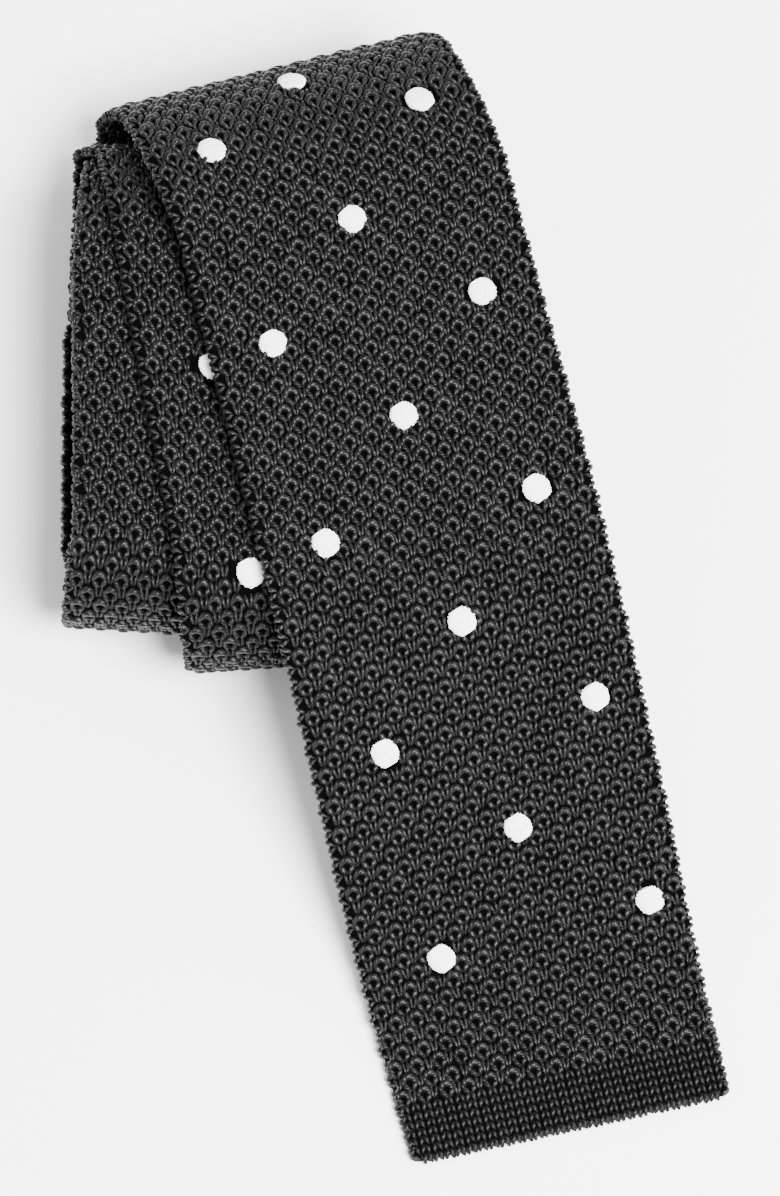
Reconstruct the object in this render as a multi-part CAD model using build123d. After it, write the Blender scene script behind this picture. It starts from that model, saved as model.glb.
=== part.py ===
from build123d import *
import math
import os

# A knitted necktie, rolled up flat from its tail so that the front blade is the outermost turn and
# lies over the top of the roll.  Millimetres.  The tie is one long strip: it is placed by its
# centre line, which starts at the front hem, and every knitted piece is a length of that strip.
# Along the strip:  s is the length from the front hem, u runs across it, h is the height above
# its middle, with the dotted face on the + side.  phi is the tilt of the face from straight up.

os.makedirs("parts", exist_ok=True)

# ---- sizes of the tie laid out straight ----
BLADE_WIDTH = 63.5
HEM_WIDTH = 60.0
HEM_FLARE = 62.0        # the blade reaches its full width this far above the hem
NECK_WIDTH = 38.0
TAIL_WIDTH = 50.0
TAPER_FROM = 480.0
TAPER_TO = 760.0
TAIL_FROM = 1120.0
TIE_LENGTH = 1440.0
THICK = 2.23            # two plies of knit and the flat gap between them
PLY_GAP = 0.4
EDGE_FOLD = 1.3         # solid knit at each side edge, where one ply turns into the other
EDGE_ROUND = 0.7
HEM_BAND = 10.7
SEAM_WIDTH = 1.4
SEAM_DEPTH = 0.5
CUT = 0.12              # gap between two neighbouring lengths of the strip

# ---- the roll ----
LAYERS = 15
PITCH = 2.48            # from one layer to the next
SHOULDER = 34.0         # big radius at the top of the outermost turn
SHOULDER_TO = 45.0      # face tilt where the shoulder turns into the tighter fold
TURNS_WITH_SHOULDER = 4
ARC_STEP = 15.0

# ---- the free front blade ----
HEM_AT = (33.25, -102.5)
HEM_ANGLE = 12.5
LIE_FLAT = 12.0
SAG_RADIUS = 70.0
SAG_ANGLE = 27.0
BLADE_TOP = 37.2         # middle of the strip where the blade has climbed onto the roll
RISE_RADIUS = 60.0
RISE_ANGLE = 8.0
RISE_RUN = 9.0
OUTER_LOW = 16.0        # lower radius of the outermost turn, which is a little loose

# ---- where each fold turns: x, y of its start, and the direction of its axis ----
FIRST_FOLD = (-10.0, 70.4, 14.9)
FIRST_DRIFT = -9.1
SECOND_FOLD = (-6.9, 0.2, 3.9)
SECOND_DRIFT = -1.3
THIRD_FOLD = (-19.5, 57.4, 0.0)
THIRD_DRIFT = -10.0
FOURTH_FOLD = (-32.1, 2.65, -3.5)
INNER_X = -36.5
INNER_TOP_Y = 57.2

# ---- white embroidered dots ----
DOT_RADIUS = 2.68
DOT_SINK = 0.45
DOT_PROUD = 0.4
DOT_PERIOD = 39.5
DOT_COLUMN = 19.9
DOT_MIDDLE = 0.6
DOT_SKEW = 0.045         # the dotted pattern runs a little askew to the side edges,
SKEW_UNTIL = 120.0      # up to this length,
DOT_TILT = 0.07         # and its rows lean a little,
TILT_UNTIL = 170.0      # up to this length
FRONT_DOTS = (37.5, 200.0)
FOLD_DOT = 208.8
ROLL_DOTS = (260.6, 475.0)
ROLL_DOT_SHIFT = 1.6

# ---- where the blade is divided into lengths that move ----
END_CUT = 30.0
LIFT_CUT = 64.0
NOSE_CUT = 104.0
KEEPER_AT = 139.0
KEEPER_SIZE = (44.0, 19.0)
LABEL_AT = 161.5
LABEL_SIZE = (34.0, 15.0)
TAPE_THICK = 0.45


def smooth(t):
    t = min(1.0, max(0.0, t))
    return t * t * (3.0 - 2.0 * t)


def sine(angle):
    return math.sin(math.radians(angle))


def cosine(angle):
    return math.cos(math.radians(angle))


def half_width(s):
    """Half the width of the strip at length s from the front hem."""
    width = HEM_WIDTH + (BLADE_WIDTH - HEM_WIDTH) * math.sin(0.5 * math.pi * min(1.0, s / HEM_FLARE))
    width += (NECK_WIDTH - BLADE_WIDTH) * smooth((s - TAPER_FROM) / (TAPER_TO - TAPER_FROM))
    width += (TAIL_WIDTH - NECK_WIDTH) * smooth((s - TAIL_FROM) / (TIE_LENGTH - TAIL_FROM))
    return width / 2.0


# ---- the path of the strip's middle ----
# A piece of path is (length, start, end, radius, drift); start and end are (x, y, z, theta, phi).
# Straight pieces have radius None.  theta is the direction of the line across the strip.
path = []
marks = {}


def path_length():
    return sum(piece[0] for piece in path)


def add_straight(start, end):
    length = math.dist(start[:3], end[:3])
    path.append((length, start, end, None, 0.0))
    return end


def add_arc(start, phi_end, radius, drift=0.0, bend=1.0):
    """Turn about an axis along the strip's width; bend -1 turns the other way, a hollow curve."""
    x, y, z, theta, phi = start
    forward = bend * radius * (sine(phi_end) - sine(phi))
    rise = bend * radius * (cosine(phi_end) - cosine(phi))
    end = (x - forward * sine(theta) + drift * cosine(theta),
           y + forward * cosine(theta) + drift * sine(theta),
           z + rise, theta, phi_end)
    length = radius * math.radians(abs(phi_end - phi))
    path.append((length, start, end, radius * bend, drift))
    return end


def at(s):
    """Centre, width direction, face tilt at length s."""
    rest = s
    for piece in path:
        if rest <= piece[0] + 1e-9:
            break
        rest -= piece[0]
    length, start, end, radius, drift = piece
    t = min(1.0, rest / length)
    theta = start[3] + (end[3] - start[3]) * t
    phi = start[4] + (end[4] - start[4]) * t
    if radius is None:
        centre = [start[i] + (end[i] - start[i]) * t for i in range(3)]
    else:
        forward = radius * (sine(phi) - sine(start[4]))
        side = drift * t
        centre = [start[0] - forward * sine(theta) + side * cosine(theta),
                  start[1] + forward * cosine(theta) + side * sine(theta),
                  start[2] + radius * (cosine(phi) - cosine(start[4]))]
    return centre, theta, phi


def layer_height(number):
    """Middle height of a layer, counted up from the bottom one, which is number 0."""
    return THICK / 2.0 + number * PITCH


def lay_free_blade():
    """From the hem up over the roll to the start of the first fold."""
    top = FIRST_FOLD
    run_back = (SHOULDER + RISE_RADIUS) * sine(RISE_ANGLE) + RISE_RUN * cosine(RISE_ANGLE)
    aim = math.degrees(math.atan2(HEM_AT[0] - top[0], top[1] - HEM_AT[1]))
    whole = math.dist(HEM_AT, top[:2])
    sag_straight = (BLADE_TOP - THICK / 2.0 - 2.0 * SAG_RADIUS * (1.0 - cosine(SAG_ANGLE))) / sine(SAG_ANGLE)
    climb = 2.0 * SAG_RADIUS * sine(SAG_ANGLE) + sag_straight * cosine(SAG_ANGLE)
    level = whole - LIE_FLAT - climb - run_back
    steps = [("run", LIE_FLAT, 0.0), ("bend", SAG_RADIUS, -SAG_ANGLE), ("run", sag_straight, -SAG_ANGLE),
             ("bend", SAG_RADIUS, 0.0), ("run", level, 0.0), ("bend", RISE_RADIUS, -RISE_ANGLE),
             ("run", RISE_RUN, -RISE_ANGLE)]
    total = LIE_FLAT + level + sag_straight + RISE_RUN
    total += math.radians(2.0 * SAG_ANGLE) * SAG_RADIUS + math.radians(RISE_ANGLE) * RISE_RADIUS
    place = (HEM_AT[0], HEM_AT[1], THICK / 2.0, HEM_ANGLE, 0.0)
    done = 0.0
    for kind, size, phi in steps:
        if kind == "run":
            length, dq, dz = size, size * cosine(phi), -size * sine(phi)
        else:
            turn = phi - place[4]
            hollow = -1.0 if turn < 0.0 else 1.0
            length = size * math.radians(abs(turn))
            dq = hollow * size * (sine(phi) - sine(place[4]))
            dz = hollow * size * (cosine(phi) - cosine(place[4]))
        parts = 1 if kind == "run" else 6
        first = place
        for i in range(parts):
            t = (i + 1) / parts
            if kind == "run":
                q, up, tilt = dq, dz, phi
            else:
                tilt = first[4] + turn * t
                q = hollow * size * (sine(tilt) - sine(first[4]))
                up = hollow * size * (cosine(tilt) - cosine(first[4]))
            done += length / parts
            theta = HEM_ANGLE + (top[2] - HEM_ANGLE) * done / total
            here = (first[0] - q * sine(aim), first[1] + q * cosine(aim), first[2] + up, theta, tilt)
            place = add_straight(place, here)
    return place[:3] + (top[2], place[4])


def lay_top_fold(start, turn, drift):
    """Over the top end of the roll and down: a wide shoulder, then tighter, then the lower quarter."""
    bottom = layer_height(turn)
    if turn >= TURNS_WITH_SHOULDER:
        return add_arc(start, start[4] + 180.0, (start[2] - bottom) / 2.0, drift)
    low = (OUTER_LOW if turn == 0 else (7.0 - turn) * PITCH)
    wide = SHOULDER - turn * PITCH
    crest = start[2] + wide * (1.0 - cosine(start[4]))
    tight = (crest - bottom - low - wide * (1.0 - cosine(SHOULDER_TO))) / cosine(SHOULDER_TO)
    span = 180.0 - (start[4] - base_tilt(turn))
    place = start
    share = (SHOULDER_TO - (start[4] - base_tilt(turn))) / span
    place = add_arc(place, base_tilt(turn) + SHOULDER_TO, wide, drift * 0.42)
    marks[f"shoulder_{turn}"] = path_length()
    place = add_arc(place, base_tilt(turn) + 90.0, tight, drift * 0.45)
    return add_arc(place, base_tilt(turn) + 180.0, low, drift * 0.13)


def base_tilt(turn):
    return 360.0 * turn


def lay_roll():
    """All the turns from the first fold inwards to the tail hem."""
    place = lay_free_blade()
    marks["crest"] = path_length()
    turns = LAYERS // 2
    for turn in range(turns):
        tilt = base_tilt(turn)
        if turn == 1:
            place = add_straight(place, THIRD_FOLD[:2] + (layer_height(LAYERS - 1 - turn), THIRD_FOLD[2], tilt))
        if turn > 1:
            place = add_straight(place, (INNER_X, INNER_TOP_Y, layer_height(LAYERS - 1 - turn), 0.0, tilt))
        drift = (FIRST_DRIFT, THIRD_DRIFT)[turn] if turn < 2 else 0.0
        marks[f"top_{turn}"] = path_length()
        place = lay_top_fold(place, turn, drift)
        marks[f"under_{turn}"] = path_length()
        if turn == 0:
            x, y, theta = SECOND_FOLD
        elif turn == 1:
            x, y, theta = FOURTH_FOLD
        else:
            x = INNER_X
            theta = FOURTH_FOLD[2]
            y = FOURTH_FOLD[1] + (INNER_X - FOURTH_FOLD[0]) * math.tan(math.radians(theta))
        place = add_straight(place, (x, y, layer_height(turn), theta, tilt + 180.0))
        marks[f"bottom_{turn}"] = path_length()
        radius = (layer_height(LAYERS - 2 - turn) - layer_height(turn)) / 2.0
        place = add_arc(place, tilt + 360.0, radius, SECOND_DRIFT if turn == 0 else 0.0)
        marks[f"upper_{turn}"] = path_length()
    left = TIE_LENGTH - path_length()
    add_straight(place, (place[0], place[1] + left, place[2], place[3], place[4]))


lay_roll()


# ---- making the pieces ----
def frame_at(s):
    """Centre, direction across, and face direction of the strip at length s."""
    centre, theta, phi = at(s)
    across = Vector(cosine(theta), sine(theta), 0.0)
    face = Vector(-sine(theta) * sine(phi), cosine(theta) * sine(phi), cosine(phi))
    return Vector(*centre), across, face


def stations(first, last):
    """Lengths at which a loft needs a section: both ends, every path joint, and steps along bends."""
    stops = {round(first, 4), round(last, 4)}
    done = 0.0
    for length, start, end, radius, drift in path:
        parts = 1
        if radius is not None:
            parts = max(1, round(abs(end[4] - start[4]) / ARC_STEP))
        elif abs(end[4] - start[4]) < 0.01 and length > 30.0 and done < TIE_LENGTH:
            parts = 2
        for i in range(parts + 1):
            s = done + length * i / parts
            if first + 0.3 < s < last - 0.3:
                stops.add(round(s, 4))
        done += length
    return sorted(stops)


def loft_strip(first, last, outline):
    """A length of strip whose cross-section at s is the closed outline(s), a list of (u, h)."""
    wires = []
    for s in stations(first, last):
        centre, across, face = frame_at(s)
        wires.append(Wire.make_polygon([centre + across * u + face * h for u, h in outline(s)], close=True))
    return Solid.make_loft(wires, True)


def knit_outline(seamed):
    def outline(s):
        a = half_width(s)
        t = THICK / 2.0
        g = SEAM_WIDTH / 2.0
        back = [(g, -t), (g, SEAM_DEPTH - t), (-g, SEAM_DEPTH - t), (-g, -t)] if seamed else []
        right = [(a - EDGE_ROUND, t), (a, t - EDGE_ROUND), (a, EDGE_ROUND - t), (a - EDGE_ROUND, -t)]
        left = [(EDGE_ROUND - a, -t), (-a, EDGE_ROUND - t), (-a, t - EDGE_ROUND), (EDGE_ROUND - a, t)]
        return right + back + left
    return outline


def box_outline(margin, low, high):
    def outline(s):
        a = half_width(s) - margin
        return [(a, high), (a, low), (-a, low), (-a, high)]
    return outline


def band_outline(width, low, high):
    def outline(s):
        a = width / 2.0
        return [(a, high), (a, low), (-a, low), (-a, high)]
    return outline


def knit_length(first, last, seamed=True, closed_start=False, closed_end=False):
    """Two plies of knit joined at the side edges, with a flat gap between them."""
    body = loft_strip(first, last, knit_outline(seamed))
    inner_first = first + (EDGE_FOLD if closed_start else 0.0)
    inner_last = last - (EDGE_FOLD if closed_end else 0.0)
    return body - loft_strip(inner_first, inner_last, box_outline(EDGE_FOLD, -PLY_GAP / 2.0, PLY_GAP / 2.0))


def seam_length(first, last):
    t = THICK / 2.0
    return loft_strip(first + 0.2, last - 0.2, band_outline(SEAM_WIDTH - 0.3, 0.06 - t, SEAM_DEPTH - 0.08 - t))


def dot_places(first_row, last_row, single=False, shift=0.0):
    """(s, u) of the dots: two in one row, one in the next, half a period on."""
    places = []
    row = 0
    s = first_row
    while s < last_row:
        columns = (DOT_MIDDLE,)
        if not single and row % 2 == 0:
            columns = (DOT_MIDDLE - DOT_COLUMN, DOT_MIDDLE + DOT_COLUMN)
        for u in columns:
            lean = DOT_TILT * max(0.0, 1.0 - s / TILT_UNTIL)
            places.append((s + lean * u, u + DOT_SKEW * max(0.0, SKEW_UNTIL - s) + shift))
        row += 1
        s += DOT_PERIOD / 2.0
    return places


def dot_cylinder(s, u, radius, low, high):
    centre, across, face = frame_at(s)
    plane = Plane(origin=centre + across * u + face * ((low + high) / 2.0), x_dir=across, z_dir=face)
    return plane.location * Cylinder(radius, high - low)


def add_dots(knit, places, proud):
    """Sink a pocket for every dot into the knit; return the knit and the dots."""
    t = THICK / 2.0
    dots = []
    for s, u in places:
        knit = knit - dot_cylinder(s, u, DOT_RADIUS + 0.06, t - DOT_SINK, t + 3.0)
        dots.append(dot_cylinder(s, u, DOT_RADIUS, t - DOT_SINK + 0.04, t + proud))
    return knit, dots


pieces = {}


def keep(name, shape):
    """Hold a finished piece until all are made; a list of solids becomes one compound."""
    if isinstance(shape, list):
        shape = Compound(shape) if len(shape) > 1 else shape[0]
    shape.label = name
    pieces[name] = shape


crest = marks["crest"]
fold_ends = [crest, marks["shoulder_0"]]
quarter = math.radians(45.0) * OUTER_LOW
fold_ends += [marks["under_0"] - 2.0 * quarter, marks["under_0"] - quarter, marks["under_0"]]
front = dot_places(*FRONT_DOTS)
t = THICK / 2.0

# free front blade
keep("front_hem_band", knit_length(0.0, HEM_BAND - 0.4, False, True, True))
keep("front_hem_linking", loft_strip(HEM_BAND - 0.3, HEM_BAND + 0.3, box_outline(2.0, -0.8, 0.8)))
keep("blade_end_knit", knit_length(HEM_BAND + 0.4, END_CUT - CUT / 2.0, closed_start=True))
keep("blade_end_seam", seam_length(HEM_BAND + 0.4, END_CUT - CUT / 2.0))

cuts = [("blade_lower", END_CUT, LIFT_CUT), ("blade_middle", LIFT_CUT, NOSE_CUT),
        ("blade_upper", NOSE_CUT, crest)]
for name, first, last in cuts:
    places = [place for place in front if first < place[0] < last]
    knit, dots = add_dots(knit_length(first + CUT / 2.0, last - CUT / 2.0), places, DOT_PROUD)
    if name == "blade_upper":
        for middle, size in ((KEEPER_AT, KEEPER_SIZE), (LABEL_AT, LABEL_SIZE)):
            recess = loft_strip(middle - size[1] / 2.0 - 0.3, middle + size[1] / 2.0 + 0.3,
                                band_outline(size[0] + 0.6, -t - 1.0, SEAM_DEPTH - t))
            knit = knit - recess
        keeper = (KEEPER_AT - KEEPER_SIZE[1] / 2.0, KEEPER_AT + KEEPER_SIZE[1] / 2.0)
        label = (LABEL_AT - LABEL_SIZE[1] / 2.0, LABEL_AT + LABEL_SIZE[1] / 2.0)
        keep("blade_upper_seam", [seam_length(first + CUT, keeper[0] - 0.4),
                                  seam_length(keeper[1] + 0.4, label[0] - 0.4),
                                  seam_length(label[1] + 0.4, last - CUT)])
    else:
        keep(f"{name}_seam", seam_length(first + CUT, last - CUT))
    keep(f"{name}_knit", knit)
    keep(f"{name}_dots", dots)

# keeper loop and blank label, let into the back of the blade
low = 0.04 - t
high = low + TAPE_THICK - 0.05
stitch = 1.4
loop = loft_strip(keeper[0], keeper[1], band_outline(KEEPER_SIZE[0], low, high))
blank = loft_strip(label[0], label[1], band_outline(LABEL_SIZE[0], low, high))


def tack_row(middle, size, rows):
    """Short thread bars through a tape near its two ends, or along both its long sides."""
    tacks = []
    for u in (-size[0] / 2.0 + 2.4, size[0] / 2.0 - 2.4):
        for i in range(rows):
            s = middle + (i - (rows - 1) / 2.0) * (size[1] - 3.0) / max(1, rows - 1)
            centre, across, face = frame_at(s)
            plane = Plane(origin=centre + across * u + face * (0.23 - t), x_dir=across, z_dir=face)
            tacks.append(plane.location * Box(stitch * 1.6, stitch * 0.5, 0.42))
    return tacks


keeper_tacks = tack_row(KEEPER_AT, KEEPER_SIZE, 5)
label_tacks = tack_row(LABEL_AT, LABEL_SIZE, 4)
def pierce(tape, tacks):
    """Cut a hole through the tape round every tack."""
    for tack in tacks:
        tape = tape - tack.location * Box(stitch * 1.6 + 0.1, stitch * 0.5 + 0.1, 2.0)
    return tape


loop = pierce(loop, keeper_tacks)
blank = pierce(blank, label_tacks)
keep("keeper_loop", loop)
keep("keeper_loop_tacks", keeper_tacks)
keep("blank_label", blank)
keep("label_tacks", label_tacks)

# the first fold, in four lengths that open one after another
for i in range(4):
    name = f"fold_{i + 1}"
    first, last = fold_ends[i] + CUT / 2.0, fold_ends[i + 1] - CUT / 2.0
    places = []
    if i == 0:
        places = [place for place in front if place[0] > crest] + dot_places(FOLD_DOT, FOLD_DOT + 1.0, True)
    if i == 2:
        places = dot_places(FOLD_DOT + DOT_PERIOD / 2.0, FOLD_DOT + DOT_PERIOD / 2.0 + 1.0)
    knit = knit_length(first, last)
    if places:
        knit, dots = add_dots(knit, places, DOT_PROUD if i == 0 else -0.05)
        keep(f"{name}_dots", dots)
    keep(f"{name}_knit", knit)
    keep(f"{name}_seam", seam_length(first + 0.1, last - 0.1))

# the roll, from the outermost flat turn inwards to the tail
roll_cuts = [("underlay", marks["under_0"], marks["bottom_0"]),
             ("bottom_fold", marks["bottom_0"], marks["upper_0"]),
             ("second_turn", marks["upper_0"], marks["upper_1"]),
             ("taper", marks["upper_1"], marks["upper_2"]),
             ("neck_outer", marks["upper_2"], marks["upper_3"]),
             ("neck_inner", marks["upper_3"], marks["upper_4"]),
             ("tail", marks["upper_4"], TIE_LENGTH - HEM_BAND - 0.4)]
roll_seams = []
roll_dots = []
for name, first, last in roll_cuts:
    places = [place for place in dot_places(*ROLL_DOTS, shift=ROLL_DOT_SHIFT) if first + 3.0 < place[0] < last - 3.0]
    knit = knit_length(first + CUT / 2.0, last - CUT / 2.0, closed_end=(name == "tail"))
    knit, dots = add_dots(knit, places, -0.05)
    roll_dots += dots
    roll_seams.append(seam_length(first + CUT, last - CUT))
    keep(f"{name}_knit", knit)
keep("roll_dots", roll_dots)
keep("roll_seam", roll_seams)
keep("tail_hem_linking", loft_strip(TIE_LENGTH - HEM_BAND - 0.3, TIE_LENGTH - HEM_BAND + 0.3,
                                    box_outline(2.0, -0.8, 0.8)))
keep("tail_hem_band", knit_length(TIE_LENGTH - HEM_BAND + 0.4, TIE_LENGTH, False, True, True))
keep("neck_lining", loft_strip(marks["upper_1"] + 4.0, marks["upper_4"] + 60.0,
                               box_outline(EDGE_FOLD + 1.5, -0.1, 0.1)))

# move the origin to the middle of the footprint, at the underside, and write every piece
low = [min(getattr(shape.bounding_box().min, axis) for shape in pieces.values()) for axis in "XYZ"]
high = [max(getattr(shape.bounding_box().max, axis) for shape in pieces.values()) for axis in "XYZ"]
shift = Vector(-(low[0] + high[0]) / 2.0, -(low[1] + high[1]) / 2.0, -low[2])
for name, shape in pieces.items():
    export_step(shape.translate(shift), f"parts/{name}.step")
print("shift", round(shift.X, 4), round(shift.Y, 4), round(shift.Z, 4))
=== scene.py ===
"""A knitted black necktie with white embroidered dots, rolled up flat from its tail.

The CAD frame is loaded first.  The tie is one long strip of double knit; here its cloth, its yarn
loops, its seam and its dots are laid along the same path as the CAD strip.  Lengths along the strip
are millimetres from the front hem (s), u runs across it and h is the height above its middle, with the
dotted face on the + side.  Everything is turned into metres in the frame's axes by lay().
"""
import bpy
import math
import numpy as np
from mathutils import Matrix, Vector


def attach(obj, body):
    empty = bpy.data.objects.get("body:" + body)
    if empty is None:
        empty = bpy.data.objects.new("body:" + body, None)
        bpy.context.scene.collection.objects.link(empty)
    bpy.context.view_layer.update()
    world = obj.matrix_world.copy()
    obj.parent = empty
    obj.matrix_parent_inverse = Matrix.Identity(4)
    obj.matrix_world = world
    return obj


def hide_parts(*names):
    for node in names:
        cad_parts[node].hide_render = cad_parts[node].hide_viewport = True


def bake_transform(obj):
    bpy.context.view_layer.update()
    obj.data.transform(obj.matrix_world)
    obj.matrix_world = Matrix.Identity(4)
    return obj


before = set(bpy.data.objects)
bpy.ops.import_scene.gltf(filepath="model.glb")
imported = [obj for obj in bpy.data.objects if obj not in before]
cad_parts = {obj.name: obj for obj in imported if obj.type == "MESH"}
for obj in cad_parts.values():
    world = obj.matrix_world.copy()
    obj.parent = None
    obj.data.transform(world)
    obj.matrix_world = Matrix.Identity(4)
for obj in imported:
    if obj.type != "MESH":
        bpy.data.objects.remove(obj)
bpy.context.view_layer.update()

# ---- the strip, as in the CAD model, mm ----
BLADE_WIDTH = 63.5
HEM_WIDTH = 60.0
HEM_FLARE = 62.0
NECK_WIDTH = 38.0
TAIL_WIDTH = 50.0
TAPER_FROM = 480.0
TAPER_TO = 760.0
TAIL_FROM = 1120.0
TIE_LENGTH = 1440.0
THICK = 2.23
LAYERS = 15
PITCH = 2.48
SHOULDER = 34.0
SHOULDER_TO = 45.0
TURNS_WITH_SHOULDER = 4
HEM_AT = (33.25, -102.5)
HEM_ANGLE = 12.5
LIE_FLAT = 12.0
SAG_RADIUS = 70.0
SAG_ANGLE = 27.0
BLADE_TOP = 37.2
RISE_RADIUS = 60.0
RISE_ANGLE = 8.0
RISE_RUN = 9.0
OUTER_LOW = 16.0
FIRST_FOLD = (-10.0, 70.4, 14.9)
FIRST_DRIFT = -9.1
SECOND_FOLD = (-6.9, 0.2, 3.9)
SECOND_DRIFT = -1.3
THIRD_FOLD = (-19.5, 57.4, 0.0)
THIRD_DRIFT = -10.0
FOURTH_FOLD = (-32.1, 2.65, -3.5)
INNER_X = -36.5
INNER_TOP_Y = 57.2
TO_FRAME = (-0.5178, 1.7131, 0.0)     # from the strip's own axes to the frame's, mm
HEM_BAND = 10.7
END_CUT = 30.0
LIFT_CUT = 64.0
NOSE_CUT = 104.0

# ---- knit and dots, mm ----
CELL_U = 4.11           # two wales
CELL_S = 5.65           # two courses of the fancy stitch
EDGE_WAVE = 0.16        # half the height of the waves in the side edges
CORNER = 2.2            # radius of the hem's corners
HEM_WALE = 2.06
HEM_COURSE = 1.66
HEM_FIRST_ROW = 0.75    # first row of the hem's stitches, from the end
HEM_ENDS = 1.2          # length of the hem band without rows, both ends together
HEM_MARGIN = 1.1        # its stitches stay this far from the side edges
KNIT_DEPTH = 0.42       # middle of the yarn loops, below the surface of the strip
GROUND_DEPTH = 0.55     # surface of the cloth under the loops, below the surface of the strip
GROUND_INSET = 0.6      # side edge of that cloth, inside the knitted edge
GROUND_STEP = 1.6       # between its cross-sections along the strip
SIZE_SPREAD = 0.035     # how much the stitches differ in size
TURN_SPREAD = 0.09      # and in the way they lie, radians
DOT_RADIUS = 2.6
DOT_PERIOD = 39.5
DOT_COLUMN = 19.9
DOT_MIDDLE = 0.6
DOT_SKEW = 0.045        # the dotted pattern runs a little askew to the side edges,
SKEW_UNTIL = 120.0      # up to this length,
DOT_TILT = 0.07         # and its rows lean a little,
TILT_UNTIL = 170.0      # up to this length
DOT_PROUD = 0.75        # height of a dot on the free cloth
FLAT_DOT_PROUD = 0.3    # and of one pressed between two layers
DOT_THREADS = 15
DOT_THREAD_RADIUS = 0.235
DOT_THREAD_SLANT = 18.0
DOT_FILL = 0.90         # share of the dot's radius that the threads take up
DOT_DOME_RINGS = 5
DOT_DOME_AROUND = 20
FRONT_DOTS = (37.5, 200.0)
FOLD_DOT = 208.8
ROLL_DOTS = (260.6, 475.0)
ROLL_DOT_SHIFT = 1.6

rng = np.random.default_rng(7)


# ======================= the strip's path =======================
def smooth(t):
    t = np.clip(t, 0.0, 1.0)
    return t * t * (3.0 - 2.0 * t)


def sine(angle):
    return math.sin(math.radians(angle))


def cosine(angle):
    return math.cos(math.radians(angle))


def half_width(s):
    s = np.asarray(s, float)
    width = HEM_WIDTH + (BLADE_WIDTH - HEM_WIDTH) * np.sin(0.5 * np.pi * np.minimum(1.0, s / HEM_FLARE))
    width = width + (NECK_WIDTH - BLADE_WIDTH) * smooth((s - TAPER_FROM) / (TAPER_TO - TAPER_FROM))
    width = width + (TAIL_WIDTH - NECK_WIDTH) * smooth((s - TAIL_FROM) / (TIE_LENGTH - TAIL_FROM))
    return width / 2.0


def edge_inset(s):
    """How far the knitted edge lies inside the strip's edge: round corners at the hem, low waves above."""
    s = np.asarray(s, float)
    near = np.clip(CORNER - np.minimum(s, TIE_LENGTH - s), 0.0, CORNER)
    corner = CORNER - np.sqrt(CORNER ** 2 - near ** 2)
    wave = EDGE_WAVE * (1.0 - np.cos(2.0 * np.pi * s / CELL_S)) * np.clip((s - HEM_BAND) / CELL_S, 0.0, 1.0)
    return corner + wave


path = []
marks = {}


def path_length():
    return sum(piece[0] for piece in path)


def add_straight(start, end):
    path.append((math.dist(start[:3], end[:3]), start, end, None, 0.0))
    return end


def add_arc(start, phi_end, radius, drift=0.0):
    x, y, z, theta, phi = start
    forward = radius * (sine(phi_end) - sine(phi))
    rise = radius * (cosine(phi_end) - cosine(phi))
    end = (x - forward * sine(theta) + drift * cosine(theta),
           y + forward * cosine(theta) + drift * sine(theta),
           z + rise, theta, phi_end)
    path.append((radius * math.radians(abs(phi_end - phi)), start, end, radius, drift))
    return end


def layer_height(number):
    return THICK / 2.0 + number * PITCH


def lay_free_blade():
    top = FIRST_FOLD
    run_back = (SHOULDER + RISE_RADIUS) * sine(RISE_ANGLE) + RISE_RUN * cosine(RISE_ANGLE)
    aim = math.degrees(math.atan2(HEM_AT[0] - top[0], top[1] - HEM_AT[1]))
    whole = math.dist(HEM_AT, top[:2])
    sag_straight = (BLADE_TOP - THICK / 2.0 - 2.0 * SAG_RADIUS * (1.0 - cosine(SAG_ANGLE))) / sine(SAG_ANGLE)
    climb = 2.0 * SAG_RADIUS * sine(SAG_ANGLE) + sag_straight * cosine(SAG_ANGLE)
    level = whole - LIE_FLAT - climb - run_back
    steps = [("run", LIE_FLAT, 0.0), ("bend", SAG_RADIUS, -SAG_ANGLE), ("run", sag_straight, -SAG_ANGLE),
             ("bend", SAG_RADIUS, 0.0), ("run", level, 0.0), ("bend", RISE_RADIUS, -RISE_ANGLE),
             ("run", RISE_RUN, -RISE_ANGLE)]
    total = LIE_FLAT + level + sag_straight + RISE_RUN
    total += math.radians(2.0 * SAG_ANGLE) * SAG_RADIUS + math.radians(RISE_ANGLE) * RISE_RADIUS
    place = (HEM_AT[0], HEM_AT[1], THICK / 2.0, HEM_ANGLE, 0.0)
    done = 0.0
    for kind, size, phi in steps:
        turn = phi - place[4]
        hollow = -1.0 if turn < 0.0 else 1.0
        length = size if kind == "run" else size * math.radians(abs(turn))
        parts = 1 if kind == "run" else 6
        first = place
        for i in range(parts):
            t = (i + 1) / parts
            if kind == "run":
                q, up, tilt = size * cosine(phi), -size * sine(phi), phi
            else:
                tilt = first[4] + turn * t
                q = hollow * size * (sine(tilt) - sine(first[4]))
                up = hollow * size * (cosine(tilt) - cosine(first[4]))
            done += length / parts
            theta = HEM_ANGLE + (top[2] - HEM_ANGLE) * done / total
            here = (first[0] - q * sine(aim), first[1] + q * cosine(aim), first[2] + up, theta, tilt)
            place = add_straight(place, here)
    return place[:3] + (top[2], place[4])


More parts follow.
